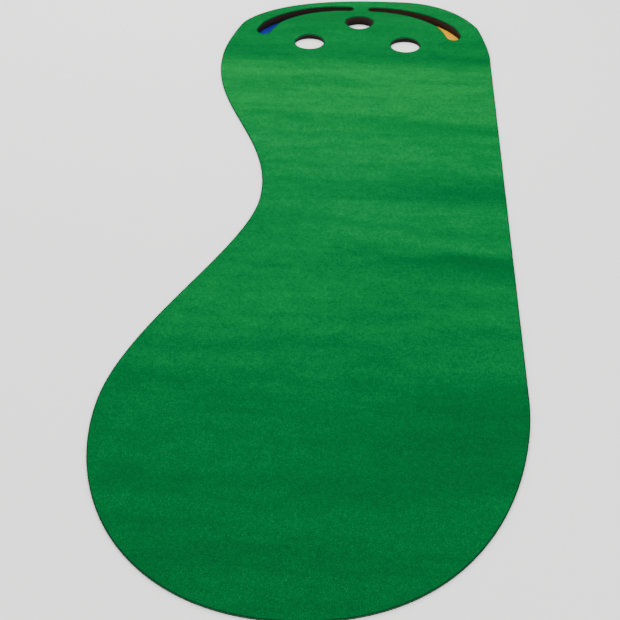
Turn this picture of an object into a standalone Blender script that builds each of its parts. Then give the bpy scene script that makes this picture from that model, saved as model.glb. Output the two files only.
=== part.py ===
"""A kidney-shaped practice putting mat, modelled as the laminate it is.

A long sheet of needle-punched felt on a rubber backing lies flat on the floor. Under its far end,
the head, a foam wedge lifts the sheet into a short uphill ramp. Three cup holes run right through
the head, and two arc-shaped traps behind them are closed at the bottom by a blue and a yellow insert.

Frame: metres, +Z up. The origin is on the floor under the centre of the mat, and +Y runs from the
lawn, where the player stands, to the head.
"""

import math

import bmesh
import bpy

# Overall size
WIDTH = 0.914
LENGTH = 2.743

# Layers, from the floor up. Two layers that touch keep the gap between them.
GAP = 0.0003
BASE_SHEET_THICKNESS = 0.001
TRAP_FLOOR_THICKNESS = 0.002
FOAM_THICKNESS = 0.025
FOAM_LIP_THICKNESS = 0.0007
BACKING_THICKNESS = 0.002
TURF_THICKNESS = 0.0027

# Where the sheet leaves the floor, where the foam begins, and where it reaches its full thickness
CREASE_Y = 0.898
RAMP_START_Y = 0.913
RAMP_END_Y = 1.150
RAMP_FACETS = 14

# The ramp's shape: a larger foot makes it hollower low down, a larger crest rounds it off sooner
RAMP_FOOT = 3.2
RAMP_CREST = 1.5

# Outline: places along it where it runs parallel to X or Y, and how far each bend reaches
HALF_WIDTH = WIDTH / 2
HALF_LENGTH = LENGTH / 2
NEAR_END_X = -0.017
FAR_END_X = 0.140
RIGHT_STRAIGHT_Y = (-0.780, 0.945)
WAIST = (-0.214, -0.007)
NEAR_LOBE_Y = -0.857
FAR_LOBE_Y = 0.928
POINTS_PER_BEND = 16

# Cup holes: the two near ones side by side, and one behind them
HEAD_CENTRE_X = -0.001
CUP_DIAMETER = 0.1016
NEAR_CUP_OFFSET_X = 0.1675
NEAR_CUP_Y = 1.0265
FAR_CUP_Y = 1.1695
CUP_SIDES = 64

# Traps: two mirrored arc slots, narrower towards the middle of the head
TRAP_CENTRE_OFFSET_X = 0.0515
TRAP_CENTRE_Y = 0.984
TRAP_RADIUS = 0.305
TRAP_INNER_ANGLE = math.radians(89)
TRAP_OUTER_ANGLE = math.radians(158.5)
TRAP_OUTER_HALF_WIDTH = 0.025
TRAP_INNER_HALF_WIDTH = 0.019
TRAP_ARC_STEPS = 20
TRAP_END_STEPS = 8
TRAP_FLOOR_CLEARANCE = 0.0005
CUTTER_HEIGHT = 0.1

# Heights that follow from the layers
FOAM_BOTTOM = BASE_SHEET_THICKNESS + GAP
FOAM_RISE = FOAM_THICKNESS - FOAM_LIP_THICKNESS
LIP_CARRY = FOAM_BOTTOM + FOAM_LIP_THICKNESS + GAP

# Colours as sRGB hex, with a roughness each
TURF_GREEN = ("1C8748", 0.95)
RUBBER_BLACK = ("1C1B1A", 0.70)
FOAM_BROWN = ("33231E", 0.90)
BASE_BLACK = ("232120", 0.80)
WATER_BLUE = ("2B3FAE", 0.85)
SAND_YELLOW = ("FFC20E", 0.85)

# Only the walls' facets are shaded smooth; the bend lines of the ramp stay crisp
SMOOTH_ANGLE = math.radians(8)

OBJECT_NAME = "practice_putting_mat"


def clear_scene():
    """Remove every object, so that the model starts from an empty scene."""
    for item in list(bpy.data.objects):
        bpy.data.objects.remove(item, do_unlink=True)


def new_collection(name):
    collection = bpy.data.collections.new(name)
    bpy.context.scene.collection.children.link(collection)
    return collection


def linear(srgb_hex):
    """The linear RGBA value of an sRGB hex colour."""
    channels = [int(srgb_hex[i : i + 2], 16) / 255 for i in (0, 2, 4)]
    return [c / 12.92 if c <= 0.04045 else ((c + 0.055) / 1.055) ** 2.4 for c in channels] + [1.0]


def new_material(name, colour):
    """A plain non-metallic Principled material from a (hex, roughness) pair."""
    srgb_hex, roughness = colour
    material = bpy.data.materials.new(name)
    material.use_nodes = True
    shader = material.node_tree.nodes["Principled BSDF"]
    shader.inputs["Base Color"].default_value = linear(srgb_hex)
    shader.inputs["Roughness"].default_value = roughness
    shader.inputs["Metallic"].default_value = 0.0
    material.diffuse_color = linear(srgb_hex)
    return material


def foam_top(y):
    """Height of the foam's top face: a thin lip, a ramp that steepens, then a level plateau."""
    along = (y - RAMP_START_Y) / (RAMP_END_Y - RAMP_START_Y)
    along = min(max(along, 0.0), 1.0)
    rise = 1 - (1 - along**RAMP_FOOT) ** RAMP_CREST
    return FOAM_BOTTOM + FOAM_LIP_THICKNESS + FOAM_RISE * rise


def backing_bottom(y):
    """Height of the backing's underside: on the floor, then up over the foam's lip."""
    if y <= CREASE_Y:
        return 0.0
    if y < RAMP_START_Y:
        return LIP_CARRY * (y - CREASE_Y) / (RAMP_START_Y - CREASE_Y)
    return foam_top(y) + GAP


def backing_top(y):
    return backing_bottom(y) + BACKING_THICKNESS


def turf_bottom(y):
    return backing_top(y) + GAP


def turf_top(y):
    return turf_bottom(y) + TURF_THICKNESS


def ramp_stations():
    """The Y of every line across the mat where its slope changes."""
    length = RAMP_END_Y - RAMP_START_Y
    on_ramp = [RAMP_START_Y + length * i / RAMP_FACETS for i in range(RAMP_FACETS + 1)]
    return [CREASE_Y] + on_ramp


def outline_bends():
    """The outline's knots, anticlockwise: place, direction of travel, reach before, reach after."""
    low, high = RIGHT_STRAIGHT_Y
    straight = (high - low) / 3
    return [
        ((NEAR_END_X, -HALF_LENGTH), (1, 0), 0.283, 0.417),
        ((HALF_WIDTH, low), (0, 1), 0.140, straight),
        ((HALF_WIDTH, high), (0, 1), straight, 0.141),
        ((FAR_END_X, HALF_LENGTH), (-1, 0), 0.242, 0.141),
        ((-HALF_WIDTH, FAR_LOBE_Y), (0, -1), 0.460, 0.392),
        (WAIST, (0, -1), 0.343, 0.245),
        ((-HALF_WIDTH, NEAR_LOBE_Y), (0, -1), 0.265, 0.265),
    ]


def curve_solid(name, curve, height):
    """A closed mesh object made from a flat curve, extruded to a height about Z = 0."""
    curve.dimensions = "2D"
    curve.fill_mode = "BOTH"
    curve.extrude = height / 2
    source = bpy.data.objects.new(curve.name, curve)
    bpy.context.scene.collection.objects.link(source)
    evaluated = source.evaluated_get(bpy.context.evaluated_depsgraph_get())
    mesh = bpy.data.meshes.new_from_object(evaluated)
    solid = bpy.data.objects.new(name, mesh)
    solid.matrix_world = source.matrix_world
    bpy.data.objects.remove(source, do_unlink=True)
    mesh.name = name
    edit = bmesh.new()
    edit.from_mesh(mesh)
    bmesh.ops.remove_doubles(edit, verts=edit.verts, dist=0.00001)
    bmesh.ops.recalc_face_normals(edit, faces=edit.faces)
    edit.to_mesh(mesh)
    edit.free()
    return solid


def outline_curve(name):
    """The kidney outline as one closed Bezier spline."""
    curve = bpy.data.curves.new(name + "_outline", "CURVE")
    curve.resolution_u = POINTS_PER_BEND
    spline = curve.splines.new("BEZIER")
    bends = outline_bends()
    spline.bezier_points.add(len(bends) - 1)
    spline.use_cyclic_u = True
    for point, (place, heading, before, after) in zip(spline.bezier_points, bends):
        x, y = place
        step_x, step_y = heading
        point.handle_left_type = "FREE"
        point.handle_right_type = "FREE"
        point.co = (x, y, 0)
        point.handle_left = (x - step_x * before, y - step_y * before, 0)
        point.handle_right = (x + step_x * after, y + step_y * after, 0)
    return curve


def trap_outline(clearance):
    """Points round the left trap, anticlockwise from its inner end's outer corner."""
    outer_half = TRAP_OUTER_HALF_WIDTH - clearance
    inner_half = TRAP_INNER_HALF_WIDTH - clearance
    centre_x = HEAD_CENTRE_X - TRAP_CENTRE_OFFSET_X

    def at(angle, radius):
        return (centre_x + radius * math.cos(angle), TRAP_CENTRE_Y + radius * math.sin(angle))

    def side(sign, steps):
        points = []
        for i in steps:
            along = i / TRAP_ARC_STEPS
            angle = TRAP_INNER_ANGLE + (TRAP_OUTER_ANGLE - TRAP_INNER_ANGLE) * along
            half = inner_half + (outer_half - inner_half) * math.sin(along * math.pi / 2)
            points.append(at(angle, TRAP_RADIUS + sign * half))
        return points

    def round_end(angle, half, turn_from):
        """Half a circle about the slot's centre line, without its two end points."""
        x, y = at(angle, TRAP_RADIUS)
        turns = [turn_from + math.pi * i / TRAP_END_STEPS for i in range(1, TRAP_END_STEPS)]
        return [(x + half * math.cos(turn), y + half * math.sin(turn)) for turn in turns]

    outer_side = side(1, range(TRAP_ARC_STEPS + 1))
    inner_side = side(-1, range(TRAP_ARC_STEPS, -1, -1))
    outer_end = round_end(TRAP_OUTER_ANGLE, outer_half, TRAP_OUTER_ANGLE)
    inner_end = round_end(TRAP_INNER_ANGLE, inner_half, TRAP_INNER_ANGLE + math.pi)
    return outer_side + outer_end + inner_side + inner_end


def trap_solid(name, mirrored, clearance, height):
    """An upright prism on the left trap's outline, or on its mirror image about the head's centre."""
    points = trap_outline(clearance)
    if mirrored:
        points = [(2 * HEAD_CENTRE_X - x, y) for x, y in reversed(points)]
    curve = bpy.data.curves.new(name + "_outline", "CURVE")
    spline = curve.splines.new("POLY")
    spline.points.add(len(points) - 1)
    spline.use_cyclic_u = True
    for point, (x, y) in zip(spline.points, points):
        point.co = (x, y, 0, 1)
    return curve_solid(name, curve, height)


def as_cutter(item, collection):
    """Hide a finished solid and keep it only for the cuts that use it."""
    item.hide_render = True
    item.display_type = "WIRE"
    for home in list(item.users_collection):
        home.objects.unlink(item)
    collection.objects.link(item)
    return item


def cup_cutter(name, x, y, collection):
    bpy.ops.mesh.primitive_cylinder_add(
        vertices=CUP_SIDES, radius=CUP_DIAMETER / 2, depth=CUTTER_HEIGHT, location=(x, y, 0)
    )
    cutter = bpy.context.object
    cutter.name = name
    return as_cutter(cutter, collection)


def make_cup_cutters(collection):
    return [
        cup_cutter("cut_left_cup", HEAD_CENTRE_X - NEAR_CUP_OFFSET_X, NEAR_CUP_Y, collection),
        cup_cutter("cut_right_cup", HEAD_CENTRE_X + NEAR_CUP_OFFSET_X, NEAR_CUP_Y, collection),
        cup_cutter("cut_far_cup", HEAD_CENTRE_X, FAR_CUP_Y, collection),
    ]


def make_trap_cutters(collection):
    cutters = [
        trap_solid("cut_water_trap", False, 0.0, CUTTER_HEIGHT),
        trap_solid("cut_sand_trap", True, 0.0, CUTTER_HEIGHT),
    ]
    return [as_cutter(cutter, collection) for cutter in cutters]


def shape_layer(mesh, bottom, top, stations, front):
    """Score a flat solid across the mat, drop what is before front, and give it its heights."""
    edit = bmesh.new()
    edit.from_mesh(mesh)
    if front is not None:
        everything = edit.verts[:] + edit.edges[:] + edit.faces[:]
        cut = bmesh.ops.bisect_plane(
            edit, geom=everything, plane_co=(0, front, 0), plane_no=(0, 1, 0), clear_inner=True
        )
        rim = [item for item in cut["geom_cut"] if isinstance(item, bmesh.types.BMEdge)]
        bmesh.ops.edgenet_fill(edit, edges=rim)
    for y in stations:
        everything = edit.verts[:] + edit.edges[:] + edit.faces[:]
        bmesh.ops.bisect_plane(edit, geom=everything, plane_co=(0, y, 0), plane_no=(0, 1, 0))
    for vertex in edit.verts:
        height = top if vertex.co.z > 0 else bottom
        vertex.co.z = height(vertex.co.y)
    bmesh.ops.recalc_face_normals(edit, faces=edit.faces)
    bmesh.ops.dissolve_limit(edit, angle_limit=0.001, verts=edit.verts, edges=edit.edges)
    edit.to_mesh(mesh)
    edit.free()


def cut_with(layer, cutters):
    for cutter in cutters:
        cut = layer.modifiers.new(cutter.name, "BOOLEAN")
        cut.operation = "DIFFERENCE"
        cut.solver = "EXACT"
        cut.object = cutter


def finish_part(item, material, collection, parent):
    """Give a part its material, shading, collection and parent."""
    item.data.materials.clear()
    item.data.materials.append(material)
    item.data.shade_smooth()
    item.data.set_sharp_from_angle(angle=SMOOTH_ANGLE)
    for home in list(item.users_collection):
        home.objects.unlink(item)
    collection.objects.link(item)
    item.parent = parent
    return item


def make_layer(name, bottom, top, stations=(), front=None, cutters=()):
    """One sheet of the laminate, between two heights that depend on Y."""
    layer = curve_solid(name, outline_curve(name), FOAM_THICKNESS)
    shape_layer(layer.data, bottom, top, stations, front)
    cut_with(layer, cutters)
    return layer


def make_trap_floor(name, mirrored):
    """A thin insert that lies in a trap, on the base sheet."""
    floor = trap_solid(name, mirrored, TRAP_FLOOR_CLEARANCE, TRAP_FLOOR_THICKNESS)
    floor.location.z = FOAM_BOTTOM + TRAP_FLOOR_THICKNESS / 2
    return floor


def main():
    clear_scene()
    parts = new_collection(OBJECT_NAME)
    cutters = new_collection("cutters")
    root = bpy.data.objects.new(OBJECT_NAME + "_origin", None)
    parts.objects.link(root)

    cups = make_cup_cutters(cutters)
    traps = make_trap_cutters(cutters)
    ramp = ramp_stations()

    turf = make_layer("turf_face", turf_bottom, turf_top, ramp, cutters=cups + traps)
    finish_part(turf, new_material("needle_punched_felt", TURF_GREEN), parts, root)

    backing = make_layer("nonskid_backing", backing_bottom, backing_top, ramp, cutters=cups + traps)
    finish_part(backing, new_material("backing_rubber", RUBBER_BLACK), parts, root)

    foam = make_layer(
        "foam_ramp", lambda y: FOAM_BOTTOM, foam_top, ramp[2:], front=RAMP_START_Y, cutters=cups + traps
    )
    finish_part(foam, new_material("closed_cell_foam", FOAM_BROWN), parts, root)

    base = make_layer(
        "ramp_base_sheet",
        lambda y: 0.0,
        lambda y: BASE_SHEET_THICKNESS,
        front=RAMP_START_Y,
        cutters=cups,
    )
    finish_part(base, new_material("base_sheet_rubber", BASE_BLACK), parts, root)

    water = make_trap_floor("water_trap_floor", mirrored=False)
    finish_part(water, new_material("blue_insert", WATER_BLUE), parts, root)

    sand = make_trap_floor("sand_trap_floor", mirrored=True)
    finish_part(sand, new_material("yellow_insert", SAND_YELLOW), parts, root)


main()
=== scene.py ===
"""Looks for a kidney-shaped practice putting mat: a felt sheet on rubber, with a foam ramp at its head.

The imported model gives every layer's place. This script replaces each plain layer with a finer piece:
a felt that lies in slight ripples and frays at its cuts, a rubber backing, a foam wedge with torn
cells along its cut walls, and two coloured felt inserts at the bottom of the traps.
"""

import logging
import math
from dataclasses import dataclass
from enum import Enum

import bpy
import numpy as np
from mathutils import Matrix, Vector
from mathutils.geometry import delaunay_2d_cdt


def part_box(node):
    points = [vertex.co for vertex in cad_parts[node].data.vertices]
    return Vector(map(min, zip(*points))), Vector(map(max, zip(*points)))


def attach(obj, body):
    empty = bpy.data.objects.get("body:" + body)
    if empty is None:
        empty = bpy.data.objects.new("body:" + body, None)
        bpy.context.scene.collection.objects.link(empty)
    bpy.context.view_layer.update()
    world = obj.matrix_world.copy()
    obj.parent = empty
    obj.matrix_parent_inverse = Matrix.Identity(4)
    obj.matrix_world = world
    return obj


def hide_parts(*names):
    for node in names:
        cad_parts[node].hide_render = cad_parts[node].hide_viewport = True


LOG = logging.getLogger("putting_mat")
MM = 0.001
Socket = bpy.types.NodeSocket
Points = np.ndarray
CUT_ATTRIBUTE = "near_cut"

# Distance between the points inside each layer
FELT_SPACING = 8 * MM
BACKING_SPACING = 14 * MM
FOAM_SPACING = 9 * MM
BASE_SPACING = 16 * MM
INSERT_SPACING = 5 * MM

# An edge is kept crisp where its faces meet at more than this
SHARP_ANGLE = math.radians(50)
# A grid point closer to a rim than this share of the spacing is dropped
RIM_SHARE = 0.6
# Samples along each bend before the outline is spaced evenly
BEND_SAMPLES = 400

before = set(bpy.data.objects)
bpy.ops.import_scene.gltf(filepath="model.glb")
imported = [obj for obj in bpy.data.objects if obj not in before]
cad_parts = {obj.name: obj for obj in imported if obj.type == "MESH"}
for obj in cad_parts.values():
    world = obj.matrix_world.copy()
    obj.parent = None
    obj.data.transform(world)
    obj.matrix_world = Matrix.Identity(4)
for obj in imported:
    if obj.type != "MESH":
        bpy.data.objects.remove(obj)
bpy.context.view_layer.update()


class Layer(Enum):
    """The CAD nodes of the mat, from the top down."""

    TURF = "turf_face"
    BACKING = "nonskid_backing"
    FOAM = "foam_ramp"
    BASE = "ramp_base_sheet"
    WATER = "water_trap_floor"
    SAND = "sand_trap_floor"


class Side(Enum):
    """Which of the two mirrored traps, as the sign of its X."""

    LEFT = -1
    RIGHT = 1


# ---------------------------------------------------------------- small helpers


def linear(srgb_hex: str) -> tuple[float, float, float, float]:
    """Turn an sRGB hex colour into linear RGBA.

    Args:
        srgb_hex: six hex digits.

    Returns:
        The linear colour with an alpha of 1.
    """
    channels = [int(srgb_hex[i : i + 2], 16) / 255 for i in (0, 2, 4)]
    values = [c / 12.92 if c <= 0.04045 else ((c + 0.055) / 1.055) ** 2.4 for c in channels]
    return (values[0], values[1], values[2], 1.0)


def add_node(
    tree: bpy.types.NodeTree,
    kind: str,
    settings: dict[str, object] | None = None,
    inputs: dict[str | int, object] | None = None,
) -> bpy.types.Node:
    """Add a node with its settings, and give its inputs a value or a link.

    Args:
        tree: the tree the node goes in.
        kind: the node's type name.
        settings: attributes of the node.
        inputs: a value, or another node's output, for each input by name or number.

    Returns:
        The new node.
    """
    node = tree.nodes.new(kind)
    for name, value in (settings or {}).items():
        setattr(node, name, value)
    for name, value in (inputs or {}).items():
        if isinstance(value, bpy.types.NodeSocket):
            tree.links.new(value, node.inputs[name])
        else:
            node.inputs[name].default_value = value
    return node


def remap(
    tree: bpy.types.NodeTree, value: Socket, start: tuple[float, float], end: tuple[float, float]
) -> bpy.types.Node:
    """Map one range of values onto another, clamped at its ends.

    Args:
        tree: the material's tree.
        value: what is mapped.
        start, end: the two ends of the range that comes in, and of the one that goes out.

    Returns:
        The node, whose first output is the mapped value.
    """
    ends = {"Value": value, 1: start[0], 2: start[1], 3: end[0], 4: end[1]}
    return add_node(tree, "ShaderNodeMapRange", {"clamp": True}, ends)


def noise(
    tree: bpy.types.NodeTree, place: Socket, grain: float, roughness: float, distortion: float = 0.0
) -> Socket:
    """Soft noise through a solid.

    Args:
        tree: the material's tree.
        place: the point's place.
        grain: size of its largest features, in metres.
        roughness: how strong its fine detail is.
        distortion: how far it is warped.

    Returns:
        Its value, about 0.5 on average.
    """
    inputs = {"Vector": place, "Scale": 1 / grain, "Detail": 3.0, "Roughness": roughness}
    node = add_node(tree, "ShaderNodeTexNoise", inputs=inputs | {"Distortion": distortion})
    return node.outputs["Fac"]


def set_stops(node: bpy.types.Node, stops: list[tuple[float, str]]) -> None:
    """Give a colour ramp its stops.

    Args:
        node: a Color Ramp node.
        stops: a position and an sRGB hex colour for each stop.
    """
    ramp = node.color_ramp
    while len(ramp.elements) > len(stops):
        ramp.elements.remove(ramp.elements[-1])
    while len(ramp.elements) < len(stops):
        ramp.elements.new(1.0)
    for element, (position, srgb_hex) in zip(ramp.elements, stops):
        element.position = position
        element.color = linear(srgb_hex)


def smooth_step(value: Points, low: float, high: float) -> Points:
    """Rise smoothly from 0 at low to 1 at high."""
    t = np.clip((value - low) / (high - low), 0.0, 1.0)
    return t * t * (3 - 2 * t)


def points_inside(points: Points, polygon: Points) -> Points:
    """Tell which points lie inside a polygon.

    Args:
        points: an N by 2 array.
        polygon: the corners in order, an M by 2 array.

    Returns:
        N booleans.
    """
    inside = np.zeros(len(points), bool)
    x, y = points[:, 0], points[:, 1]
    for (x1, y1), (x2, y2) in zip(polygon, np.roll(polygon, -1, axis=0)):
        if y1 == y2:
            continue
        crosses = (y1 > y) != (y2 > y)
        inside ^= crosses & (x < (x2 - x1) * (y - y1) / (y2 - y1) + x1)
    return inside


def inset_loop(loop: Points, distance: float) -> Points:
    """Move a closed loop sideways.

    Args:
        loop: the loop's points, an N by 2 array.
        distance: how far, towards the loop's inside where it is positive.

    Returns:
        The moved points.
    """
    ahead = np.roll(loop, -1, axis=0) - np.roll(loop, 1, axis=0)
    left = np.c_[-ahead[:, 1], ahead[:, 0]] / np.linalg.norm(ahead, axis=1)[:, None]
    after = np.roll(loop, -1, axis=0)
    turn = np.sign((loop[:, 0] * after[:, 1] - loop[:, 1] * after[:, 0]).sum())
    return loop + left * distance * turn


def mesh_object(name: str, mesh: bpy.types.Mesh) -> bpy.types.Object:
    """Link a new object for a finished mesh, at the origin.

    Args:
        name: of the object.
        mesh: its finished mesh.

    Returns:
        The object.
    """
    item = bpy.data.objects.new(name, mesh)
    bpy.context.scene.collection.objects.link(item)
    return item


# ---------------------------------------------------------------- the mat's plan


@dataclass(frozen=True)
class Cup:
    """A round hole through the head.

    Attributes:
        x, y: its centre, in metres.
        radius: of the hole, in metres.
    """

    x: float
    y: float
    radius: float = 50.8 * MM

    def rim(self, spacing: float) -> Points:
        """Points round the rim.

        Args:
            spacing: about how far apart they are.

        Returns:
            An N by 2 array.
        """
        count = int(2 * math.pi * self.radius / spacing)
        angles = np.arange(count) * 2 * math.pi / count
        return np.c_[self.x + self.radius * np.cos(angles), self.y + self.radius * np.sin(angles)]


@dataclass(frozen=True)
class Trap:
    """An arc slot with round ends, narrower towards the middle of the head.

    Attributes:
        side: left or right of the head's centre line.
        middle: X of the head's centre line.
        offset, centre_y: of the arc's centre from the head's centre line, and its Y.
        radius: of the slot's centre line.
        inner, outer: angles of the two ends, in degrees, on the left trap.
        inner_half, outer_half: half the slot's width at the two ends.
    """

    side: Side
    middle: float = -1.0 * MM
    offset: float = 51.5 * MM
    centre_y: float = 984 * MM
    radius: float = 305 * MM
    inner: float = 89.0
    outer: float = 158.5
    inner_half: float = 19 * MM
    outer_half: float = 25 * MM

    def rim(self, spacing: float, inset: float = 0.0) -> Points:
        """Points round the slot's edge.

        Args:
            spacing: about how far apart the points are.
            inset: how far inside the true edge they lie.

        Returns:
            An N by 2 array.
        """
        start, stop = math.radians(self.inner), math.radians(self.outer)
        steps = max(int((stop - start) * self.radius / spacing), 8)
        along = np.arange(steps + 1) / steps
        angles = start + (stop - start) * along
        halves = self.inner_half + (self.outer_half - self.inner_half) * np.sin(along * math.pi / 2) - inset

        def arc(sign: int) -> Points:
            """One long side of the slot."""
            reach = self.radius + sign * halves
            return np.c_[reach * np.cos(angles), reach * np.sin(angles)]

        def cap(angle: float, half: float, turn: float) -> Points:
            """One round end of the slot.

            Args:
                angle: of the end, about the arc's centre.
                half: half the slot's width there.
                turn: where the half circle starts.

            Returns:
                Its points, without the two that the long sides hold.
            """
            count = max(int(math.pi * half / spacing), 4)
            turns = turn + math.pi * np.arange(1, count) / count
            middle = self.radius * np.array([math.cos(angle), math.sin(angle)])
            return middle + half * np.c_[np.cos(turns), np.sin(turns)]

        loop = np.vstack(
            [arc(1), cap(stop, halves[-1], stop), arc(-1)[::-1], cap(start, halves[0], start + math.pi)]
        )
        loop += [-self.offset, self.centre_y]
        return loop * [-self.side.value, 1] + [self.middle, 0]


@dataclass(frozen=True)
class MatPlan:
    """The mat's outline and heights, as every layer shares them.

    Attributes:
        half_width, half_length: half the mat's box, in metres.
        crease, ramp_start, ramp_end: Y where the sheet lifts, the foam begins and the head is level.
        foot, crest: the ramp's shape, hollow low down and rounded at the top.
        foam_bottom, lip, foam: the foam's underside, its front edge and its full thickness.
        gap, backing, turf: between layers, and the thickness of backing and felt.
        ripple: height of the gentle waves in the lawn.
    """

    half_width: float
    half_length: float
    crease: float = 898 * MM
    ramp_start: float = 913 * MM
    ramp_end: float = 1150 * MM
    foot: float = 3.2
    crest: float = 1.5
    foam_bottom: float = 1.3 * MM
    lip: float = 0.7 * MM
    foam: float = 25 * MM
    gap: float = 0.3 * MM
    backing: float = 2.0 * MM
    turf: float = 2.7 * MM
    ripple: float = 1.6 * MM
    cups: tuple[Cup, ...] = (Cup(-0.1685, 1.0265), Cup(0.1665, 1.0265), Cup(-0.001, 1.1695))
    traps: tuple[Trap, ...] = (Trap(Side.LEFT), Trap(Side.RIGHT))

    def outline(self, spacing: float) -> Points:
        """Points round the kidney outline, about one spacing apart.

        Args:
            spacing: in metres.

        Returns:
            An N by 2 array, anticlockwise.
        """
        low, high = -0.780, 0.945
        straight = (high - low) / 3
        w, n = self.half_width, self.half_length
        # Each bend: its place, the way the edge runs there, and its reach before and after
        bends = [
            ((-0.017, -n), (1, 0), 0.283, 0.417),
            ((w, low), (0, 1), 0.140, straight),
            ((w, high), (0, 1), straight, 0.141),
            ((0.140, n), (-1, 0), 0.242, 0.141),
            ((-w, 0.928), (0, -1), 0.460, 0.392),
            ((-0.214, -0.007), (0, -1), 0.343, 0.245),
            ((-w, -0.857), (0, -1), 0.265, 0.265),
        ]
        t = np.linspace(0, 1, BEND_SAMPLES, endpoint=False)[:, None]
        pieces = []
        for bend, following in zip(bends, bends[1:] + bends[:1]):
            a, d = np.array(bend[0]), np.array(following[0])
            b = a + np.array(bend[1]) * bend[3]
            c = d - np.array(following[1]) * following[2]
            pieces.append((1 - t) ** 3 * a + 3 * (1 - t) ** 2 * t * b + 3 * (1 - t) * t * t * c + t**3 * d)
        fine = np.vstack(pieces)
        steps = np.linalg.norm(np.roll(fine, -1, axis=0) - fine, axis=1)
        run = np.r_[0, np.cumsum(steps)]
        closed = np.vstack([fine, fine[:1]])
        stations = np.linspace(0, run[-1], int(run[-1] / spacing), endpoint=False)
        return np.c_[np.interp(stations, run, closed[:, 0]), np.interp(stations, run, closed[:, 1])]

    def head_outline(self, spacing: float) -> Points:
        """The part of the outline behind the foam's front edge, closed by a straight line.

        Args:
            spacing: in metres.

        Returns:
            An N by 2 array, anticlockwise.
        """
        loop = self.outline(spacing)
        behind = loop[:, 1] > self.ramp_start
        first = int(np.argmax(behind & ~np.roll(behind, 1)))
        arc = np.roll(loop, -first, axis=0)
        arc = arc[arc[:, 1] > self.ramp_start]
        start = np.array([arc[0, 0], self.ramp_start])
        end = np.array([arc[-1, 0], self.ramp_start])
        count = int(np.linalg.norm(end - start) / spacing)
        front = end + (start - end) * (np.arange(count) / count)[:, None]
        return np.vstack([arc, front])

    def ripples(self, points: Points) -> Points:
        """Slight waves across the lawn, which fade out towards the head and the near end.

        Args:
            points: an N by 2 array.

        Returns:
            How far each point stands off the floor.
        """
        x, y = points[:, 0], points[:, 1]
        waves = (
            np.sin(y * 21.0 + x * 2.2 + 0.8)
            + 0.7 * np.sin(y * 34.0 - x * 3.1 + 2.1)
            + 0.5 * np.sin(y * 55.0 + x * 1.4)
        )
        right = 0.35 + 0.65 * smooth_step(x, -0.1, 0.4)
        lawn = 1 - smooth_step(y, self.crease - 0.10, self.crease)
        near = smooth_step(y, -1.2, -0.7)
        return self.ripple * 0.45 * (waves / 2.2 + 1) * right * lawn * near

    def foam_top(self, y: Points) -> Points:
        """Height of the foam's top face.

        Args:
            y: how far along the mat, in metres.

        Returns:
            The height at each.
        """
        along = np.clip((y - self.ramp_start) / (self.ramp_end - self.ramp_start), 0, 1)
        rise = 1 - (1 - along**self.foot) ** self.crest
        return self.foam_bottom + self.lip + (self.foam - self.lip) * rise

    def backing_bottom(self, points: Points) -> Points:
        """Height of the backing's underside, ripples included.

        Args:
            points: an N by 2 array.

        Returns:
            The height at each.
        """
        y = points[:, 1]
        carry = self.foam_bottom + self.lip + self.gap
        front = carry * smooth_step(y, self.crease - 0.012, self.ramp_start)
        head = self.foam_top(y) + self.gap
        return np.where(y < self.ramp_start, front, head) + self.ripples(points)

    def backing_top(self, points: Points) -> Points:
        """Height of the backing's top face."""
        return self.backing_bottom(points) + self.backing

    def turf_bottom(self, points: Points) -> Points:
        """Height of the felt's underside."""
        return self.backing_top(points) + self.gap

    def turf_top(self, points: Points) -> Points:
        """Height of the felt's top face."""
        return self.turf_bottom(points) + self.turf


# ---------------------------------------------------------------- meshes


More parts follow.
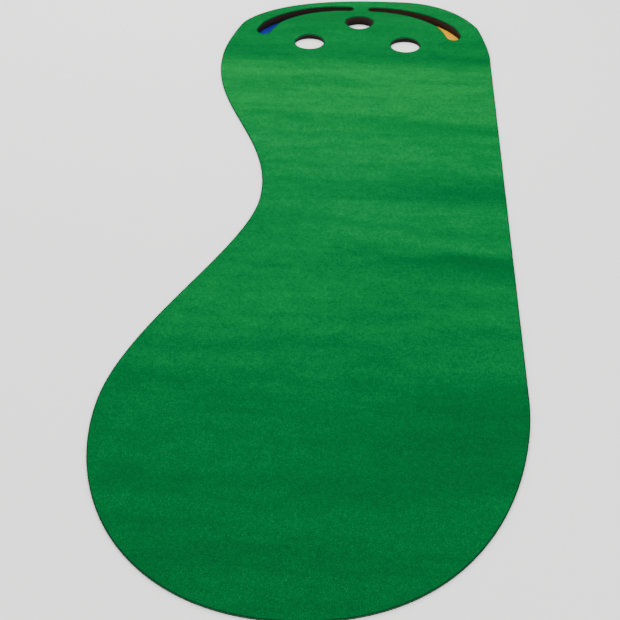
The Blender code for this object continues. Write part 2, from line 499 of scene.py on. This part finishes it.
@dataclass
class SheetCut:
    """A flat region with holes, meshed finely and raised into a closed sheet.

    Attributes:
        outline: its outer edge.
        holes: the edges of its holes.
        spacing: of the points inside it, in metres.
        skirt: width of an even strip of faces along every cut, or 0 for none.
        droop: how far the top face's cut edge is pulled down.
    """

    outline: Points
    holes: list[Points]
    spacing: float
    skirt: float = 0.0
    droop: float = 0.0

    def tessellate(self) -> tuple[Points, list[tuple[int, int, int]]]:
        """Fill the region with near-even triangles.

        Returns:
            The flat points and the triangles, anticlockwise.
        """
        low, high = self.outline.min(0), self.outline.max(0)
        row = self.spacing * math.sqrt(3) / 2
        ys = np.arange(low[1] + row / 2, high[1], row)
        xs = np.arange(low[0], high[0] + self.spacing, self.spacing)
        shift = (np.arange(len(ys)) % 2) * self.spacing / 2
        grid = np.stack(
            [(xs[None, :] + shift[:, None]).ravel(), np.repeat(ys, len(xs))], axis=1
        )
        keep = points_inside(grid, self.outline)
        for hole in self.holes:
            keep &= ~points_inside(grid, hole)
        grid = grid[keep]
        loops = [self.outline, *self.holes]
        if self.skirt:
            loops.append(inset_loop(self.outline, self.skirt))
            loops += [inset_loop(hole, -self.skirt) for hole in self.holes]
        rims = np.vstack(loops)
        cells = set(map(tuple, np.floor(rims / (self.spacing * RIM_SHARE)).astype(int)))
        keys = np.floor(grid / (self.spacing * RIM_SHARE)).astype(int)
        grid = grid[[tuple(key) not in cells for key in keys]]
        points = [Vector(p) for p in rims] + [Vector(p) for p in grid]
        edges = []
        base = 0
        for loop in loops:
            count = len(loop)
            edges += [(base + i, base + (i + 1) % count) for i in range(count)]
            base += count
        made, _, faces, *_ = delaunay_2d_cdt(points, edges, [], 0, 1e-7, False)
        flat = np.array([tuple(p) for p in made])
        corners = np.array(faces)
        centres = flat[corners].mean(axis=1)
        inside = points_inside(centres, self.outline)
        for hole in self.holes:
            inside &= ~points_inside(centres, hole)
        return flat, [tuple(face) for face in corners[inside].tolist()]

    def raise_sheet(
        self,
        name: str,
        bottom: Points,
        top: Points,
        flat: Points,
        faces: list[tuple[int, int, int]],
    ) -> bpy.types.Mesh:
        """Close a sheet between two heights.

        Args:
            name: of the mesh.
            bottom, top: a height for each flat point.
            flat: the flat points.
            faces: the triangles between them.

        Returns:
            A closed mesh. Material 0 is for its faces and material 1 for its cut walls.
        """
        count = len(flat)
        corners = np.array(faces)
        vertices = np.vstack([np.c_[flat, top], np.c_[flat, bottom]])
        sides = np.vstack([corners[:, [0, 1]], corners[:, [1, 2]], corners[:, [2, 0]]])
        known = set(map(tuple, sides.tolist()))
        rim = [(a, b) for a, b in known if (b, a) not in known]
        walls = [(b, a, a + count, b + count) for a, b in sorted(rim)]
        under = (corners[:, ::-1] + count).tolist()
        edge = sorted({i for pair in rim for i in pair})
        vertices[edge, 2] -= self.droop
        mesh = bpy.data.meshes.new(name)
        mesh.from_pydata(vertices.tolist(), [], corners.tolist() + under + walls)
        slots = np.zeros(len(mesh.polygons), np.int32)
        slots[len(corners) + len(under) :] = 1
        mesh.polygons.foreach_set("material_index", slots)
        near_cut = np.zeros(2 * count, np.float32)
        near_cut[edge] = 1.0
        mesh.attributes.new(CUT_ATTRIBUTE, "FLOAT", "POINT").data.foreach_set("value", near_cut)
        mesh.shade_smooth()
        mesh.set_sharp_from_angle(angle=SHARP_ANGLE)
        mesh.update()
        return mesh


# ---------------------------------------------------------------- finishes


@dataclass(frozen=True)
class Felt:
    """Needle-punched polyester felt: barbed needles tangle dyed fibres into a flat mat.

    It looks matt and slightly fuzzy, with tufts under 2 mm apart and looser clumps of them. Faint
    bands across the roll are painted shade of its gentle waves.

    Attributes:
        name: of the material.
        base, dark, light: sRGB hex of the dye, of the hollows and the painted shade, and of the raised
            fibre ends.
        painted_edge_shade: sRGB hex of the painted shade in the last few millimetres before a cut.
        grain: distance between tufts of fibre.
        clump: distance between the denser clumps that the needles leave.
        cloud: size of the broad uneven patches in the dye.
        painted_sheen_and_shade: painted sheen and shade along the mat, as places and sRGB hex: darker at
            the near end, brighter towards the far lawn, with a painted shade dip at the crease and on the
            ramp.
        bands: how much painted shade of the lawn's waves falls at each place along the mat, as places and a
            grey from 0 to F.
        wander: how far a band strays from a straight line, in metres.
        drift: over what length it strays, in metres.
        reach: half the length that the places run over, in metres.
    """

    name: str
    base: str
    dark: str
    light: str
    # Painted shade along every cut
    painted_edge_shade: str = "0A2416"
    grain: float = 1.7 * MM
    clump: float = 8 * MM
    cloud: float = 38 * MM
    painted_sheen_and_shade: tuple[tuple[float, str], ...] = ()
    bands: tuple[tuple[float, str], ...] = ()
    wander: float = 70 * MM
    drift: float = 85 * MM
    reach: float = 1.3715

    def build(self) -> bpy.types.Material:
        """Make the material.

        Returns:
            The finished material.
        """
        material = bpy.data.materials.new(self.name)
        material.use_nodes = True
        tree = material.node_tree
        shader = tree.nodes["Principled BSDF"]
        place = add_node(tree, "ShaderNodeTexCoord").outputs["Object"]
        tufts = noise(tree, place, self.grain, 0.7, distortion=1.2)
        stretched = add_node(
            tree, "ShaderNodeMapping", inputs={"Vector": place, "Scale": (0.6, 1.0, 1.0)}
        ).outputs["Vector"]
        clumps = noise(tree, place, self.clump, 0.8)
        clouds = noise(tree, stretched, self.cloud, 0.6)
        colour = self._ground(tree, place)
        for signal, low, high, shade, strength in (
            (tufts, 0.36, 0.60, self.dark, 0.66),
            (clumps, 0.38, 0.62, self.dark, 0.36),
            (clouds, 0.34, 0.66, self.dark, 0.20),
        ):
            amount = remap(tree, signal, (low, high), (strength, 0.0)).outputs[0]
            colour = self._blend(tree, colour, shade, amount)
        tips = remap(tree, tufts, (0.52, 0.72), (0.0, 0.50)).outputs[0]
        colour = self._blend(tree, colour, self.light, tips)
        if self.bands:
            colour = self._bands(tree, place, colour)
            # Painted shade in the last few millimetres before every cut
            colour = self._blend(tree, colour, self.painted_edge_shade, self._cut_shade(tree))
        tree.links.new(colour, shader.inputs["Base Color"])
        bump = add_node(
            tree, "ShaderNodeBump", inputs={"Height": tufts, "Strength": 0.8, "Distance": 1.2 * MM}
        )
        tree.links.new(bump.outputs["Normal"], shader.inputs["Normal"])
        shader.inputs["Roughness"].default_value = 1.0
        shader.inputs["Specular IOR Level"].default_value = 0.02
        return material

    def _cut_shade(self, tree: bpy.types.NodeTree) -> Socket:
        """Find the last few millimetres before a cut, where the felt is darkened with painted shade.

        Args:
            tree: the material's tree.

        Returns:
            How much painted shade falls there.
        """
        cut = add_node(tree, "ShaderNodeAttribute", {"attribute_name": CUT_ATTRIBUTE}).outputs["Fac"]
        return remap(tree, cut, (0.3, 0.75), (0.0, 0.9)).outputs[0]

    def _blend(
        self, tree: bpy.types.NodeTree, under: str | Socket, over: str | Socket, amount: Socket
    ) -> Socket:
        """Mix a colour over another.

        Args:
            tree: the material's tree.
            under: the colour below, as sRGB hex or a link.
            over: the colour above, as sRGB hex or a link.
            amount: how much of it shows.

        Returns:
            The mixed colour.
        """
        below, above = (linear(side) if isinstance(side, str) else side for side in (under, over))
        node = add_node(tree, "ShaderNodeMix", {"data_type": "RGBA"}, {0: amount, 6: below, 7: above})
        return node.outputs[2]

    def _ground(self, tree: bpy.types.NodeTree, place: Socket) -> str | Socket:
        """The dye's colour, with painted sheen and shade along the mat where the felt has them.

        Args:
            tree: the material's tree.
            place: the point's place.

        Returns:
            The colour, as sRGB hex or a link.
        """
        if not self.painted_sheen_and_shade:
            return self.base
        # Painted sheen and shade along the mat: brighter towards the far lawn, darker at the near end, at
        # the crease and on the ramp
        y = add_node(tree, "ShaderNodeSeparateXYZ", inputs={"Vector": place}).outputs["Y"]
        along = remap(tree, y, (-self.reach, self.reach), (0.0, 1.0)).outputs[0]
        ramp = add_node(tree, "ShaderNodeValToRGB", inputs={"Fac": along})
        set_stops(ramp, list(self.painted_sheen_and_shade))
        return ramp.outputs["Color"]

    def _bands(self, tree: bpy.types.NodeTree, place: Socket, colour: Socket) -> Socket:
        """Darken soft bands across the roll with painted shade of the lawn's waves, stronger towards the
        straight side.

        Args:
            tree: the material's tree.
            place: the point's place.
            colour: the colour so far.

        Returns:
            The banded colour.
        """
        stretched = add_node(
            tree, "ShaderNodeMapping", inputs={"Vector": place, "Scale": (0.16, 1.0, 1.0)}
        ).outputs["Vector"]
        wander = noise(tree, stretched, self.drift, 0.6)
        axes = add_node(tree, "ShaderNodeSeparateXYZ", inputs={"Vector": place}).outputs
        bent = add_node(
            tree, "ShaderNodeMath", {"operation": "MULTIPLY_ADD"}, {0: wander, 1: self.wander, 2: axes["Y"]}
        ).outputs[0]
        ends = (-self.reach + self.wander / 2, self.reach + self.wander / 2)
        along = remap(tree, bent, ends, (0.0, 1.0)).outputs[0]
        # Painted shade of the lawn's waves, in soft bands across the mat
        pressed = add_node(tree, "ShaderNodeValToRGB", inputs={"Fac": along})
        pressed.color_ramp.interpolation = "EASE"
        set_stops(pressed, list(self.bands))
        across = remap(tree, axes["X"], (-0.15, 0.38), (0.12, 0.52))
        across.interpolation_type = "SMOOTHSTEP"
        placed = add_node(
            tree,
            "ShaderNodeMath",
            {"operation": "MULTIPLY"},
            {0: pressed.outputs["Color"], 1: across.outputs[0]},
        ).outputs[0]
        colour = self._blend(tree, colour, self.dark, placed)
        loose = remap(tree, wander, (0.36, 0.58), (0.24, 0.0)).outputs[0]
        return self._blend(tree, colour, self.dark, loose)


@dataclass(frozen=True)
class CutPile:
    """The cut wall of the felt: fibres sliced across, so it is darker, with pale broken ends."""

    name: str = "felt_knife_cut_edge"
    body: str = "0D3A20"
    ends: str = "2C7A48"
    grain: float = 2.0 * MM

    def build(self) -> bpy.types.Material:
        """Make the material."""
        return speckled(self.name, self.body, self.ends, self.grain, 0.95, 0.6)


@dataclass(frozen=True)
class Rubber:
    """Latex-rubber compound spread on and vulcanised: near black, matt, with moulded grip dimples."""

    name: str
    body: str
    worn: str
    dimple: float = 5.0 * MM

    def build(self) -> bpy.types.Material:
        """Make the material.

        Returns:
            The finished material.
        """
        material = speckled(self.name, self.body, self.worn, self.dimple * 0.6, 0.72, 0.2)
        tree = material.node_tree
        place = add_node(tree, "ShaderNodeTexCoord").outputs["Object"]
        cells = add_node(
            tree,
            "ShaderNodeTexVoronoi",
            inputs={"Vector": place, "Scale": 1 / self.dimple, "Randomness": 0.15},
        ).outputs["Distance"]
        bump = add_node(
            tree,
            "ShaderNodeBump",
            {"invert": True},
            {"Height": cells, "Strength": 0.5, "Distance": 0.8 * MM},
        )
        tree.links.new(bump.outputs["Normal"], tree.nodes["Principled BSDF"].inputs["Normal"])
        return material


@dataclass(frozen=True)
class Foam:
    """Closed-cell foam, blown and then skived and die cut: a dry, matt brown with open cut cells.

    Its thin front and the foot of its walls are darkened with painted shade, darker towards the floor.

    Attributes:
        name: of the material.
        body, hollow, painted_foot_shade: sRGB hex of the foam, of its open cells, and of the painted shade
            low down.
        cell: size of a cell.
        full_shade_below, no_shade_above: heights that the painted shade is darkest below, and gone above.
    """

    name: str = "closed_cell_foam_die_cut"
    body: str = "2E1B14"
    hollow: str = "140C0A"
    painted_foot_shade: str = "0A0707"
    cell: float = 2.2 * MM
    full_shade_below: float = 9 * MM
    no_shade_above: float = 21 * MM

    def build(self) -> bpy.types.Material:
        """Make the material.

        Returns:
            The finished material.
        """
        material = speckled(self.name, self.body, self.hollow, self.cell * 2, 0.9, 0.3)
        tree = material.node_tree
        place = add_node(tree, "ShaderNodeTexCoord").outputs["Object"]
        shader = tree.nodes["Principled BSDF"]
        height = add_node(tree, "ShaderNodeSeparateXYZ", inputs={"Vector": place}).outputs["Z"]
        # Painted shade, darker towards the floor: over the thin front and the foot of the walls
        foot_shade_amount = remap(tree, height, (self.full_shade_below, self.no_shade_above), (0.85, 0.0)).outputs[0]
        flecked = shader.inputs["Base Color"].links[0].from_socket
        darker = add_node(
            tree, "ShaderNodeMix", {"data_type": "RGBA"}, {0: foot_shade_amount, 6: flecked, 7: linear(self.painted_foot_shade)}
        )
        tree.links.new(darker.outputs[2], shader.inputs["Base Color"])
        cells = add_node(
            tree, "ShaderNodeTexVoronoi", inputs={"Vector": place, "Scale": 1 / self.cell}
        ).outputs["Distance"]
        bump = add_node(
            tree, "ShaderNodeBump", inputs={"Height": cells, "Strength": 0.7, "Distance": 1.0 * MM}
        )
        tree.links.new(bump.outputs["Normal"], shader.inputs["Normal"])
        return material


def speckled(
    name: str, body: str, fleck: str, grain: float, roughness: float, strength: float
) -> bpy.types.Material:
    """A matt material of one colour flecked with another.

    Args:
        name: of the material.
        body, fleck: sRGB hex of the ground and of the flecks.
        grain: distance between flecks, in metres.
        roughness: of the whole surface.
        strength: how much of the fleck's colour shows.

    Returns:
        The material, with nothing linked to its normal.
    """
    material = bpy.data.materials.new(name)
    material.use_nodes = True
    tree = material.node_tree
    shader = tree.nodes["Principled BSDF"]
    place = add_node(tree, "ShaderNodeTexCoord").outputs["Object"]
    flecks = noise(tree, place, grain, 0.7)
    amount = remap(tree, flecks, (0.45, 0.65), (0.0, strength)).outputs[0]
    mix = add_node(
        tree, "ShaderNodeMix", {"data_type": "RGBA"}, {0: amount, 6: linear(body), 7: linear(fleck)}
    )
    tree.links.new(mix.outputs[2], shader.inputs["Base Color"])
    shader.inputs["Roughness"].default_value = roughness
    shader.inputs["Specular IOR Level"].default_value = 0.25
    return material


@dataclass(frozen=True)
class Finishes:
    """The felt, rubber, foam and inserts, each by its own maker's finish."""

    # Green polyester felt, needle-punched, with painted sheen and shade along the mat, and painted shade of
    # its waves in soft bands across the roll
    turf: Felt = Felt(
        "green_felt_needle_punched",
        base="087A3E",
        dark="013A1A",
        light="0E9648",
        # Painted shade of the lawn's gentle waves, as soft bands across the mat
        bands=(
            (0.100, "303030"),
            (0.180, "C0C0C0"),
            (0.260, "505050"),
            (0.350, "000000"),
            (0.395, "F0F0F0"),
            (0.422, "202020"),
            (0.475, "404040"),
            (0.525, "F0F0F0"),
            (0.568, "000000"),
            (0.625, "404040"),
            (0.655, "C0C0C0"),
            (0.690, "202020"),
            (0.800, "303030"),
            (0.838, "808080"),
            (0.880, "101010"),
        ),
        # Painted sheen and shade along the mat: brighter towards the far lawn, darker at the near end, a
        # painted shade dip at the crease and on the ramp
        painted_sheen_and_shade=(
            (0.00, "07622F"),
            (0.16, "086933"),
            (0.34, "087C3B"),
            (0.52, "068440"),
            (0.70, "058C3D"),
            (0.800, "06903F"),
            (0.822, "058238"),
            (0.834, "037034"),
            (0.87, "047736"),
            (1.00, "067937"),
        ),
    )
    # The same felt where the die's knife went through it
    turf_edge: CutPile = CutPile()
    # Fibres that the knife pulled loose along a cut; their darker green adds painted shade along every cut
    fringe: Felt = Felt("green_felt_frayed_fibres", base="07502A", dark="00341C", light="2A8A52")
    # Fibre ends that stand up from the face and catch the light
    raised: Felt = Felt("green_felt_raised_fibres", base="149A4C", dark="0A7A3A", light="3CB46E")
    # Latex rubber, spread on the felt and pressed with grip dimples while it cured
    backing: Rubber = Rubber("latex_backing_dimpled", body="161615", worn="2A2928")
    # Closed-cell foam, skived to a wedge and die cut
    foam: Foam = Foam()
    # Thin rubber sheet, rolled between cylinders
    base: Rubber = Rubber(
        "base_sheet_rubber_calendered", body="1A1918", worn="2C2A29", dimple=3.0 * MM
    )
    # Blue and yellow felts, needle-punched, for the two inserts
    water: Felt = Felt("blue_felt_needle_punched", base="202A92", dark="10175A", light="333FB0")
    sand: Felt = Felt("yellow_felt_needle_punched", base="ECAA00", dark="C88600", light="F4BC00")


# ---------------------------------------------------------------- the layers


@dataclass
class Lamina:
    """A layer that follows the whole mat's outline or the head's.

    Attributes:
        name: of the piece.
        layer: the CAD node that it stands for.
        plan: the mat's shared outline and heights.
        spacing: of its points, in metres.
        faces_finish, walls_finish: of its two faces and of its cut walls.
    """

    name: str
    layer: Layer
    plan: MatPlan
    spacing: float
    faces_finish: bpy.types.Material
    walls_finish: bpy.types.Material

    RIM_SPACING = 3.0 * MM
    SKIRT = 0.0
    DROOP = 0.0

    def outline(self) -> Points:
        """The outer edge."""
        return self.plan.outline(self.RIM_SPACING)

    def holes(self) -> list[Points]:
        """The edges of its holes."""
        rims = [cup.rim(self.RIM_SPACING) for cup in self.plan.cups]
        return rims + [trap.rim(self.RIM_SPACING) for trap in self.plan.traps]

    def heights(self, flat: Points) -> tuple[Points, Points]:
        """Bottom and top height of each point."""
        raise NotImplementedError

    def build(self) -> tuple[bpy.types.Object, float]:
        """Make the layer and put it in place of its CAD node.

        Returns:
            The piece and its flat area in square metres.
        """
        cut = SheetCut(self.outline(), self.holes(), self.spacing, self.SKIRT, self.DROOP)
        flat, faces = cut.tessellate()
        bottom, top = self.heights(flat)
        mesh = cut.raise_sheet(self.name, bottom, top, flat, faces)
        mesh.materials.append(self.faces_finish)
        mesh.materials.append(self.walls_finish)
        piece = mesh_object(self.name, mesh)
        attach(piece, "root")
        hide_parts(self.layer.value)
        a, b, c = (flat[[face[i] for face in faces]] for i in range(3))
        u, v = b - a, c - a
        area = float(np.abs(u[:, 0] * v[:, 1] - u[:, 1] * v[:, 0]).sum() / 2)
        LOG.info("%s: %d faces, %.3f m2", self.name, len(mesh.polygons), area)
        return piece, area


@dataclass
class TurfFace(Lamina):
    """The green felt that the ball rolls on."""

    SKIRT = 4.0 * MM
    DROOP = 0.7 * MM

    def heights(self, flat: Points) -> tuple[Points, Points]:
        """Bottom and top height of each point."""
        return self.plan.turf_bottom(flat), self.plan.turf_top(flat)


@dataclass
class Backing(Lamina):
    """The rubber under the felt."""

    def heights(self, flat: Points) -> tuple[Points, Points]:
        """Bottom and top height of each point."""
        return self.plan.backing_bottom(flat), self.plan.backing_top(flat)


@dataclass
class FoamRamp(Lamina):
    """The foam wedge under the head."""

    def outline(self) -> Points:
        """The head's edge, closed along the foam's front."""
        return self.plan.head_outline(self.RIM_SPACING)

    def heights(self, flat: Points) -> tuple[Points, Points]:
        """Bottom and top height of each point."""
        return np.full(len(flat), self.plan.foam_bottom), self.plan.foam_top(flat[:, 1])


@dataclass
class BaseSheet(FoamRamp):
    """The thin rubber sheet under the foam, which closes the traps."""

    thickness: float = 1.0 * MM

    def holes(self) -> list[Points]:
        """Only the cups go through it."""
        return [cup.rim(self.RIM_SPACING) for cup in self.plan.cups]

    def heights(self, flat: Points) -> tuple[Points, Points]:
        """Bottom and top height of each point."""
        return np.zeros(len(flat)), np.full(len(flat), self.thickness)


@dataclass
class TrapFloor(Lamina):
    """A coloured felt insert that lies at the bottom of a trap.

    Attributes:
        trap: the slot it lies in.
        clearance: between it and the slot's wall.
        thickness: of the felt.
    """

    trap: Trap = Trap(Side.LEFT)
    clearance: float = 0.6 * MM
    thickness: float = 2.0 * MM

    def outline(self) -> Points:
        """The slot's edge, a little inside it."""
        return self.trap.rim(2.0 * MM, self.clearance)

    def holes(self) -> list[Points]:
        """It has none."""
        return []

    def heights(self, flat: Points) -> tuple[Points, Points]:
        """Bottom and top height of each point, slightly uneven where the felt isn't pressed down.

        Args:
            flat: the flat points.

        Returns:
            The two heights of each.
        """
        x, y = flat[:, 0], flat[:, 1]
        uneven = 0.15 * MM * (np.sin(x * 140 + y * 60) + np.sin(y * 190 - x * 50))
        bottom = np.full(len(flat), self.plan.foam_bottom)
        return bottom, bottom + self.thickness + uneven


@dataclass
class FeltFibres:
    """Loose fibres of the felt, scattered by Geometry Nodes along its cuts and over its face.

    Attributes:
        plan: the mat's shared outline and heights.
        cut_spacing: between fibres along a cut edge.
        length, radius: of one fibre.
        density: of raised fibres on the face, per square metre.
        sunk: how far under the felt's top face the fringe is rooted.
        edge_step, rim_step: between the points of the fringe's lines, on the outline and on a rim.
        face_outline, face_rim, face_step: the same on the coarse face, and between its inner points.
    """

    plan: MatPlan
    cut_spacing: float = 1.1 * MM
    length: float = 3.2 * MM
    radius: float = 0.16 * MM
    density: float = 12000.0
    sunk: float = 0.6 * MM
    edge_step: float = 6 * MM
    rim_step: float = 4 * MM
    face_outline: float = 12 * MM
    face_rim: float = 8 * MM
    face_step: float = 16 * MM

    FRINGE_LEAN = 1.35
    RAISED_LEAN = 1.2

    def cut_lines(self) -> bpy.types.Mesh:
        """Closed polylines along every cut in the felt, just under its top face.

        Returns:
            A mesh of edges only.
        """
        loops = [self.plan.outline(self.edge_step)]
        loops += [cup.rim(self.rim_step) for cup in self.plan.cups]
        loops += [trap.rim(self.rim_step) for trap in self.plan.traps]
        vertices: list[tuple[float, float, float]] = []
        edges: list[tuple[int, int]] = []
        for loop in loops:
            base, count = len(vertices), len(loop)
            heights = self.plan.turf_top(loop) - self.sunk
            vertices += [(x, y, z) for (x, y), z in zip(loop.tolist(), heights.tolist())]
            edges += [(base + i, base + (i + 1) % count) for i in range(count)]
        mesh = bpy.data.meshes.new("cut_lines")
        mesh.from_pydata(vertices, edges, [])
        return mesh

    def tree(self, name: str, finish: bpy.types.Material, on_face: bool) -> bpy.types.GeometryNodeTree:
        """A node tree that stands fibres on a cut line or on a face.

        Args:
            name: of the tree.
            finish: of the fibres.
            on_face: scatter over faces, and not along edges.

        Returns:
            The tree, with inputs named Geometry, Spacing, Density, Length, Radius and Seed.
        """
        tree = bpy.data.node_groups.new(name, "GeometryNodeTree")
        face = tree.interface
        face.new_socket("Geometry", in_out="INPUT", socket_type="NodeSocketGeometry")
        for label, kind in (
            ("Spacing", "NodeSocketFloat"),
            ("Density", "NodeSocketFloat"),
            ("Length", "NodeSocketFloat"),
            ("Radius", "NodeSocketFloat"),
            ("Seed", "NodeSocketInt"),
        ):
            face.new_socket(label, in_out="INPUT", socket_type=kind)
        face.new_socket("Geometry", in_out="OUTPUT", socket_type="NodeSocketGeometry")
        given = add_node(tree, "NodeGroupInput").outputs
        if on_face:
            points = add_node(
                tree,
                "GeometryNodeDistributePointsOnFaces",
                inputs={"Mesh": given["Geometry"], "Density": given["Density"], "Seed": given["Seed"]},
            ).outputs["Points"]
        else:
            line = add_node(tree, "GeometryNodeMeshToCurve", inputs={"Mesh": given["Geometry"]})
            points = add_node(
                tree,
                "GeometryNodeResampleCurve",
                {"mode": "LENGTH"},
                {"Curve": line.outputs["Curve"], "Length": given["Spacing"]},
            ).outputs["Curve"]
        cone = add_node(
            tree,
            "GeometryNodeMeshCone",
            {"fill_type": "NONE"},
            {"Vertices": 3, "Radius Top": 0.0, "Radius Bottom": given["Radius"], "Depth": given["Length"]},
        )
        lean = self.RAISED_LEAN if on_face else self.FRINGE_LEAN
        turn = add_node(
            tree,
            "FunctionNodeRandomValue",
            {"data_type": "FLOAT_VECTOR"},
            {0: (-lean, -lean, -math.pi), 1: (lean, lean, math.pi), "Seed": given["Seed"]},
        ).outputs[0]
        size = add_node(
            tree,
            "FunctionNodeRandomValue",
            {"data_type": "FLOAT"},
            {2: 0.45, 3: 1.0, "Seed": given["Seed"]},
        ).outputs[1]
        stood = add_node(
            tree,
            "GeometryNodeInstanceOnPoints",
            inputs={"Points": points, "Instance": cone.outputs["Mesh"], "Rotation": turn, "Scale": size},
        )
        real = add_node(
            tree, "GeometryNodeRealizeInstances", inputs={"Geometry": stood.outputs["Instances"]}
        )
        dressed = add_node(
            tree,
            "GeometryNodeSetMaterial",
            inputs={"Geometry": real.outputs["Geometry"], "Material": finish},
        )
        add_node(tree, "NodeGroupOutput", inputs={"Geometry": dressed.outputs["Geometry"]})
        return tree

    def grow(
        self, name: str, source: bpy.types.Mesh, finish: bpy.types.Material, on_face: bool, seed: int
    ) -> bpy.types.Object:
        """Run the tree on a mesh and keep its result as a plain piece.

        Args:
            name: of the piece.
            source: what the fibres stand on.
            finish: of the fibres.
            on_face: scatter over faces, and not along edges.
            seed: of the scatter.

        Returns:
            The piece.
        """
        holder = mesh_object(name + "_source", source)
        tree = self.tree(name + "_tree", finish, on_face)
        modifier = holder.modifiers.new("fibres", "NODES")
        modifier.node_group = tree
        sizes = {
            "Spacing": self.cut_spacing,
            "Density": self.density,
            "Length": self.length,
            "Radius": self.radius,
            "Seed": seed,
        }
        for item in tree.interface.items_tree:
            if item.item_type == "SOCKET" and item.in_out == "INPUT" and item.name in sizes:
                modifier[item.identifier] = sizes[item.name]
        evaluated = holder.evaluated_get(bpy.context.evaluated_depsgraph_get())
        mesh = bpy.data.meshes.new_from_object(evaluated)
        mesh.name = name
        bpy.data.objects.remove(holder, do_unlink=True)
        mesh.materials.clear()
        mesh.materials.append(finish)
        piece = mesh_object(name, mesh)
        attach(piece, "root")
        LOG.info("%s: %d faces", name, len(mesh.polygons))
        return piece

    def face_mesh(self) -> bpy.types.Mesh:
        """An open coarse mesh of the felt's top face.

        Returns:
            The mesh that raised fibres are scattered on.
        """
        rims = [hole.rim(self.face_rim) for hole in (*self.plan.cups, *self.plan.traps)]
        cut = SheetCut(self.plan.outline(self.face_outline), rims, self.face_step)
        flat, faces = cut.tessellate()
        mesh = bpy.data.meshes.new("felt_face")
        top = self.plan.turf_top(flat)
        mesh.from_pydata(np.c_[flat, top].tolist(), [], faces)
        return mesh


# ---------------------------------------------------------------- studio


@dataclass(frozen=True)
class Studio:
    """A pale floor, soft light from above, and the camera at the player's end of the mat.

    Attributes:
        camera_place: in metres.
        pitch_down, turn_left: the camera's, in degrees.
        lens, sensor: focal length and sensor width, in millimetres.
        floor_shade: sRGB hex.
        floor_reach: half the floor's side.
        floor_drop: how far it lies under the mat.
        sky: strength of the white surroundings.
    """

    camera_place: tuple[float, float, float] = (0.1368, -2.4571, 1.5142)
    pitch_down: float = 37.587
    turn_left: float = 4.981
    lens: float = 61.0
    sensor: float = 36.0
    floor_shade: str = "FDFDFC"
    floor_reach: float = 30.0
    floor_drop: float = 0.3 * MM
    sky: float = 1.5

    def camera(self) -> None:
        """Stand the camera behind the near end, looking down along the mat."""
        data = bpy.data.cameras.new("camera")
        data.lens = self.lens
        data.sensor_width = self.sensor
        data.clip_end = 50.0
        camera = bpy.data.objects.new("camera", data)
        camera.location = self.camera_place
        camera.rotation_euler = (math.radians(90 - self.pitch_down), 0.0, math.radians(self.turn_left))
        bpy.context.scene.collection.objects.link(camera)
        bpy.context.scene.camera = camera

    def floor(self) -> None:
        """Lay a wide pale floor just under the mat."""
        mesh = bpy.data.meshes.new("floor")
        far, down = self.floor_reach, -self.floor_drop
        corners = [(-far, -far, down), (far, -far, down), (far, far, down), (-far, far, down)]
        mesh.from_pydata(corners, [], [(0, 1, 2, 3)])
        material = bpy.data.materials.new("floor_matt_paint")
        material.use_nodes = True
        shader = material.node_tree.nodes["Principled BSDF"]
        shader.inputs["Base Color"].default_value = linear(self.floor_shade)
        shader.inputs["Roughness"].default_value = 1.0
        shader.inputs["Specular IOR Level"].default_value = 0.0
        mesh.materials.append(material)
        mesh_object("floor", mesh)

    def light(self, name: str, place: tuple[float, float, float], size: float, power: float) -> None:
        """Hang one square soft box that faces the mat's middle.

        Args:
            name: of the lamp.
            place: in metres.
            size: of its side.
            power: in watts.
        """
        data = bpy.data.lights.new(name, "AREA")
        data.size = size
        data.energy = power
        lamp = bpy.data.objects.new(name, data)
        lamp.location = place
        lamp.rotation_euler = (Vector((0.0, 0.2, 0.0)) - Vector(place)).to_track_quat("-Z", "Y").to_euler()
        bpy.context.scene.collection.objects.link(lamp)

    def build(self) -> None:
        """Set up the camera, floor, world and lights."""
        self.camera()
        self.floor()
        world = bpy.data.worlds.new("studio")
        world.use_nodes = True
        background = world.node_tree.nodes["Background"]
        background.inputs["Color"].default_value = (1.0, 1.0, 1.0, 1.0)
        background.inputs["Strength"].default_value = self.sky
        bpy.context.scene.world = world
        self.light("soft_box_head", (-0.9, 1.9, 2.6), 2.2, 70.0)
        self.light("soft_box_front", (1.4, -2.2, 3.0), 2.6, 40.0)


# ---------------------------------------------------------------- the mat


def main() -> None:
    """Build every piece of the mat, from the floor up, then the studio."""
    logging.basicConfig(level=logging.INFO, format="%(message)s")
    low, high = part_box(Layer.TURF.value)
    plan = MatPlan(half_width=(high[0] - low[0]) / 2, half_length=round((high[1] - low[1]) / 2, 4))
    finish = Finishes()
    edge = finish.turf_edge.build()
    felt = finish.turf.build()
    rubber = finish.backing.build()
    foam = finish.foam.build()
    base = finish.base.build()

    Studio().build()
    sheet, area = BaseSheet("ramp_base", Layer.BASE, plan, BASE_SPACING, base, base).build()
    wedge, _ = FoamRamp("foam_wedge", Layer.FOAM, plan, FOAM_SPACING, foam, foam).build()
    for layer, trap, insert in (
        (Layer.WATER, plan.traps[0], finish.water),
        (Layer.SAND, plan.traps[1], finish.sand),
    ):
        dye = insert.build()
        name = layer.value + "_felt"
        floor, area = TrapFloor(name, layer, plan, INSERT_SPACING, dye, dye, trap=trap).build()
    under, under_area = Backing(
        "rubber_backing", Layer.BACKING, plan, BACKING_SPACING, rubber, rubber
    ).build()
    turf, turf_area = TurfFace("putting_felt", Layer.TURF, plan, FELT_SPACING, felt, edge).build()

    fibres = FeltFibres(plan)
    fringe = fibres.grow(
        "felt_cut_fringe", fibres.cut_lines(), finish.fringe.build(), on_face=False, seed=7
    )
    raised = fibres.grow(
        "felt_raised_fibres", fibres.face_mesh(), finish.raised.build(), on_face=True, seed=11
    )


if __name__ == "__main__":
    main()
